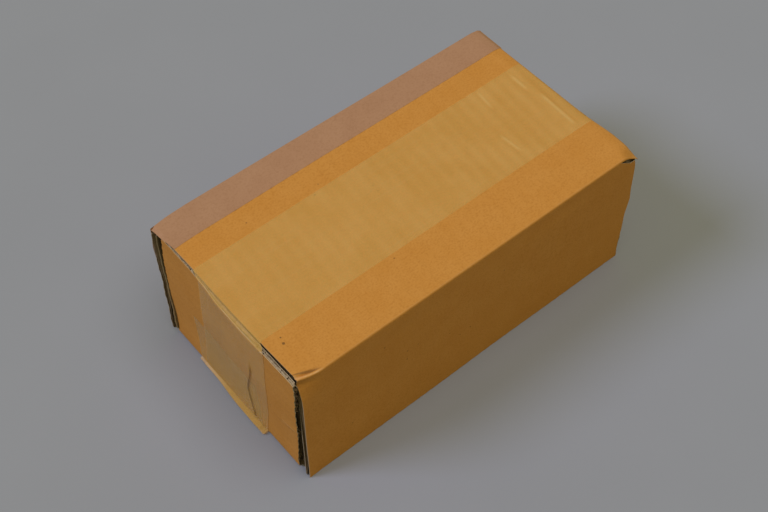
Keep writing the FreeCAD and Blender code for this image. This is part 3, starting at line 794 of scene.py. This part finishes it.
def tape_place(s, t, depth):
    """A place of the flat strip: s counts its runs and folds, t runs across it from back to front.
    The film follows the lid and the near flap, bridges the flap's raw top cut and steps sideways
    there, and a wrinkle stands up where it was pulled askew down the near end."""
    way = folded(s, depth, TAPE_WAY, TAPE_MOVES, TAPE_RADII)
    x, z = way[..., 0], way[..., 1]
    s, t = np.broadcast_arrays(s, t)
    middle_at = [5.7, 6, 6, -1.3, -1.3, -4.7, -3.2, 2, 2.2, 5]
    middle = np.interp(s, [0, 1, 2, 3, 8, 8.3, 8.54, 9, 10, 11], middle_at)
    down = (s >= 8) & (s <= 9)
    middle = np.where(down, table(z, (0, 2.2), (38, -3.2), (56, -4.7), (80.3, -6.6)), middle)
    y = middle + TAPE_WIDTH / 2 - t * TAPE_WIDTH
    rise = np.clip(z, FLOOR_Z, TOP_Z) - FLOOR_Z
    crossing = (s > 6) & (s < 8)
    way_down = np.clip((-x - TAPE_LEAVES) / (TAPE_BENDS - TAPE_LEAVES), 0, 1)
    y = np.where(crossing, y - 5.3 * way_down, y)
    near = (s <= 1) | (s >= 8) & (s <= 9)
    lean = near_lean(y, np.where(near, rise, HEIGHT))
    flap_bow = near_bow(z) * near
    line = table(z, *WRINKLE)
    wrinkle = bell(y, line, 0.45) * ramp(z, 1, 8) * (1 - ramp(z, 52, 62))
    second = bell(y, line - 3.2 - z / 30, 1.1) * ramp(z, 4, 12) * (1 - ramp(z, 24, 40))
    pulls = 0.1 * np.sin(y * 0.9 + z * 0.12) * np.sin(z / 19 + y / 7) * ramp(z, 2, 12)
    rows = bell(z, 70, 8) * 0.12 * np.sin(z * 1.3 + y * 0.2)
    lift = (0.9 * wrinkle + 0.35 * second + np.abs(pulls) + np.abs(rows)) * down
    hugging = ramp(-np.abs(t - 0.5), -0.5, -0.42)
    lift = lift * hugging
    still_up = (0, 0), (0.1, 0), (0.15, 0.08), (0.2, 0.25)
    fallen = table(way_down, *still_up, (0.3, 0.6), (0.4, 0.8), (0.6, 0.93), (1, 1))
    bridged = joined(x - lean + flap_bow - lift, y, z - near_drop(y) * ramp(z, 70, 80) * near)
    gone = table(way_down, (0, 0), (0.1, 1.4), (0.2, 1.45), (0.3, 1.55), (1, 0.85))
    gone = gone + lean * ramp(way_down, 0.25, 1)
    dressed = lid_shape(joined(x, y, z))
    stand_off = 0.85 * way_down
    band_x = dressed[..., 0] * (1 - way_down) + x * way_down - gone + stand_off
    band_z = dressed[..., 2] - near_drop(y) * fallen
    band = joined(np.maximum(band_x, x - lean - stand_off), dressed[..., 1], band_z)
    over = wave_of(x - NEAR_X, BACK_Y - y) + LID_CREST
    on_top = ramp(z, TOP_Z - 1, TOP_Z - 0.1) * (s >= 5) * (s <= 8) * ramp(x, -93, -88)
    ripple = np.cos(over) * (0.035 + 0.055 * ramp(x, 25, 80) * (0.6 + 0.4 * np.sin(y / 7 + x / 12)))
    ripple = ripple + tape_ridges(x, y, 0.55)
    film_z = dressed[..., 2] + on_top * (ripple - 0.01)
    dressed = joined(dressed[..., 0], dressed[..., 1], film_z)
    over_cut = (crossing & (x < -TAPE_LEAVES))[..., None]
    on_lid = ((s >= 4) & (s < 8))[..., None]
    return np.where(over_cut, band, np.where(on_lid, dressed, bridged))


def tape_marks(s, points):
    """Pale where the film stands off: the ridges on the top. Painted highlight and painted shade: the flute
    rows on the top, pale on crests and dark in troughs, and the two sides of the wrinkle on the near end,
    the dark side also where the film lies double."""
    x, y, z = points[..., 0], points[..., 1], points[..., 2]
    uneven = (0.55 + 0.45 * ramp(x, 0, 50)) * (0.7 + 0.3 * np.sin(y / 7 + x / 12))
    # Painted highlight and shade across the flute rows, pale on crests and dark in troughs; the ridges add
    # pale film that stands off.
    rows = 0.05 * np.cos(wave_of(x - NEAR_X, BACK_Y - y) + LID_CREST) * uneven + tape_ridges(x, y, 0.8)
    off = y - table(z, *WRINKLE)
    # A painted highlight on the wrinkle's lit side and painted shade on its other side, where the film also
    # lies double.
    wrinkle_light_and_shade = bell(off, 0.5, 0.35) - 1.2 * bell(off, -0.2, 0.28)
    wrinkle_light_and_shade = wrinkle_light_and_shade * ramp(z, 3, 8) * (1 - ramp(z, 50, 62))
    return rows * ((s > 6) & (s < 7)) + wrinkle_light_and_shade * ((s >= 8) & (s < 9))


def tape_lines():
    """Rows along the film, closer where it wrinkles or bends, and columns across it."""
    bend = (-93, -94, 0.2), (-94, 0.5 - TAPE_BENDS, 0.03)
    over = lines((FAR_X - FOLD_R, 50, PITCH / 14), (50, -93, PITCH / 8), *bend)
    down = lines((TOP_Z - 0.5, 76, 0.5), (76, FLOOR_Z + FOLD_R, 1.2))
    rows = stations(
        share(lines((0, TAPE_START_Z - FOLD_R, 2)), 0, TAPE_START_Z - FOLD_R),
        FOLD_PARTS,
        share(lines((NEAR_X + FOLD_R, FAR_X, 4)), NEAR_X + FOLD_R, FAR_X),
        FOLD_PARTS[::3],
        share(lines((0, HEIGHT, 2.5)), 0, HEIGHT),
        FOLD_PARTS,
        share(over, over[0], over[-1]),
        FOLD_PARTS,
        share(down, down[0], down[-1]),
        FOLD_PARTS,
        share(lines((NEAR_X + FOLD_R, TAPE_END_X, 4)), NEAR_X + FOLD_R, TAPE_END_X),
    )
    return rows, share(lines((24, 20, 1), (20, -2, 2), (-2, -21, 0.3), (-21, -24, 1)), 24, -24)


tape_s, tape_t = tape_lines()
film_edge = ramp(np.minimum(tape_t, 1 - tape_t), 0, 0.02)[None, :]
film_depths = -0.01 - (0.03 + FILM) * film_edge, 0.0 - 0.04 * film_edge
tape_faces = [tape_place(tape_s[:, None], tape_t[None, :], depth) for depth in film_depths]
tape_runs = np.cumsum([0, 36, 3, 187, 1, 80, 3, 187, 1, 78, 3, 108])
tape_along = np.interp(tape_s, range(12), tape_runs)[:, None]
tape_stand_off_and_painted_light = tape_marks(tape_s[:, None], tape_faces[0])
tape_flat = np.broadcast_arrays(tape_along, tape_t[None, :] * TAPE_WIDTH, tape_stand_off_and_painted_light)
whole = np.ones((len(tape_s) - 1, len(tape_t) - 1), bool)
tape_shell = (*tape_faces, whole, np.stack(tape_flat, -1), 0, 0, 0)
tape = closed_sheet("packing_tape", [tape_shell], [film])
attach(tape, "root")
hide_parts("sealing_tape")

# ---------------------------------------------------------------------------------------------
# The place it stands: a plain pale grey table top. A cool wide light to the left casts the shadow,
# a wider one overhead and a dim warm room fill it. The camera looks down on the near end and front.
# ---------------------------------------------------------------------------------------------

table_top, table_shader = surface("laminate_satin_pale_grey")
table_place = add(table_top, "ShaderNodeTexCoord").outputs["Object"]
table_noise = {"Vector": table_place, "Scale": 9.0, "Detail": 3.0}
table_cloud = add(table_top, "ShaderNodeTexNoise", table_noise)
table_tone = blend(table_top, table_cloud.outputs["Fac"], colour("#8b8c91"), colour("#919297"))
into(table_top, table_tone, table_shader, "Base Color")
table_shader.inputs["Roughness"].default_value = 0.9
table_shader.inputs["Specular IOR Level"].default_value = 0.05
FLOOR_HALF = 4.0
floor_mesh = bpy.data.meshes.new("table_top")
around = (-1, -1), (1, -1), (1, 1), (-1, 1)
floor_corners = [(x * FLOOR_HALF, y * FLOOR_HALF, 0) for x, y in around]
floor_mesh.from_pydata(floor_corners, [], [(0, 1, 2, 3)])
floor_mesh.materials.append(table_top)
floor = bpy.data.objects.new("table_top", floor_mesh)
bpy.context.scene.collection.objects.link(floor)

WINDOW_WAY, WINDOW_LEVEL, WINDOW_COLOUR = (-0.94, 0.475, 1.0), 0.42, (0.93, 1.0, 1.45)
CEILING_WAY, CEILING_LEVEL, CEILING_COLOUR = (0.05, -0.26, 1.0), 0.39, (1.0, 0.98, 1.12)


def soft_light(name, way, level, tint, width):
    """A far light, width degrees across, that lights the whole table evenly. A white face turned
    to it, alone, shows the level: its strength is level times pi."""
    away = np.array(way) / np.linalg.norm(way)
    across_it = np.cross([0, 1, 0], away)
    across_it = across_it / np.linalg.norm(across_it)
    light = bpy.data.lights.new(name, "SUN")
    light.angle = math.radians(width)
    light.energy = level * math.pi
    light.color = tint
    turned = np.eye(4)
    turned[:3, 0], turned[:3, 1], turned[:3, 2] = across_it, np.cross(away, across_it), away
    turned[:3, 3] = away
    lamp = bpy.data.objects.new(name, light)
    lamp.matrix_world = Matrix(turned.tolist())
    bpy.context.scene.collection.objects.link(lamp)


soft_light("window_light", WINDOW_WAY, WINDOW_LEVEL, WINDOW_COLOUR, 21)
soft_light("ceiling_light", CEILING_WAY, CEILING_LEVEL, CEILING_COLOUR, 42)

room = bpy.data.worlds.new("soft_room")
room.use_nodes = True
room.node_tree.nodes["Background"].inputs["Color"].default_value = (1.0, 0.95, 0.15, 1)
room.node_tree.nodes["Background"].inputs["Strength"].default_value = 0.3
bpy.context.scene.world = room
bpy.context.scene.view_settings.view_transform = "Standard"

CAMERA_AZIMUTH, CAMERA_ELEVATION, CAMERA_ROLL = (math.radians(a) for a in (-39.36, 53.80, -0.32))
CAMERA_SHIFT = (6.44, -18.10, 708.45)
CAMERA_FOCUS_PIXELS = 1449.0
IMAGE_WIDTH = 768
SENSOR = 36.0
flat_part = math.cos(CAMERA_ELEVATION)
right = np.array([math.cos(CAMERA_AZIMUTH), math.sin(CAMERA_AZIMUTH), 0])
back = np.array([right[1] * flat_part, -right[0] * flat_part, math.sin(CAMERA_ELEVATION)])
up = np.cross(back, right)
right, up = (
    math.cos(CAMERA_ROLL) * right + math.sin(CAMERA_ROLL) * up,
    math.cos(CAMERA_ROLL) * up - math.sin(CAMERA_ROLL) * right,
)
stand = CAMERA_SHIFT[2] * back - CAMERA_SHIFT[0] * right - CAMERA_SHIFT[1] * up
pose = np.eye(4)
pose[:3, 0], pose[:3, 1], pose[:3, 2], pose[:3, 3] = right, up, back, stand * MM
camera_data = bpy.data.cameras.new("camera")
camera_data.sensor_width = SENSOR
camera_data.lens = CAMERA_FOCUS_PIXELS / IMAGE_WIDTH * SENSOR
camera_data.clip_start, camera_data.clip_end = 0.05, 20
camera = bpy.data.objects.new("camera", camera_data)
camera.matrix_world = Matrix(pose.tolist())
bpy.context.scene.collection.objects.link(camera)
bpy.context.scene.camera = camera
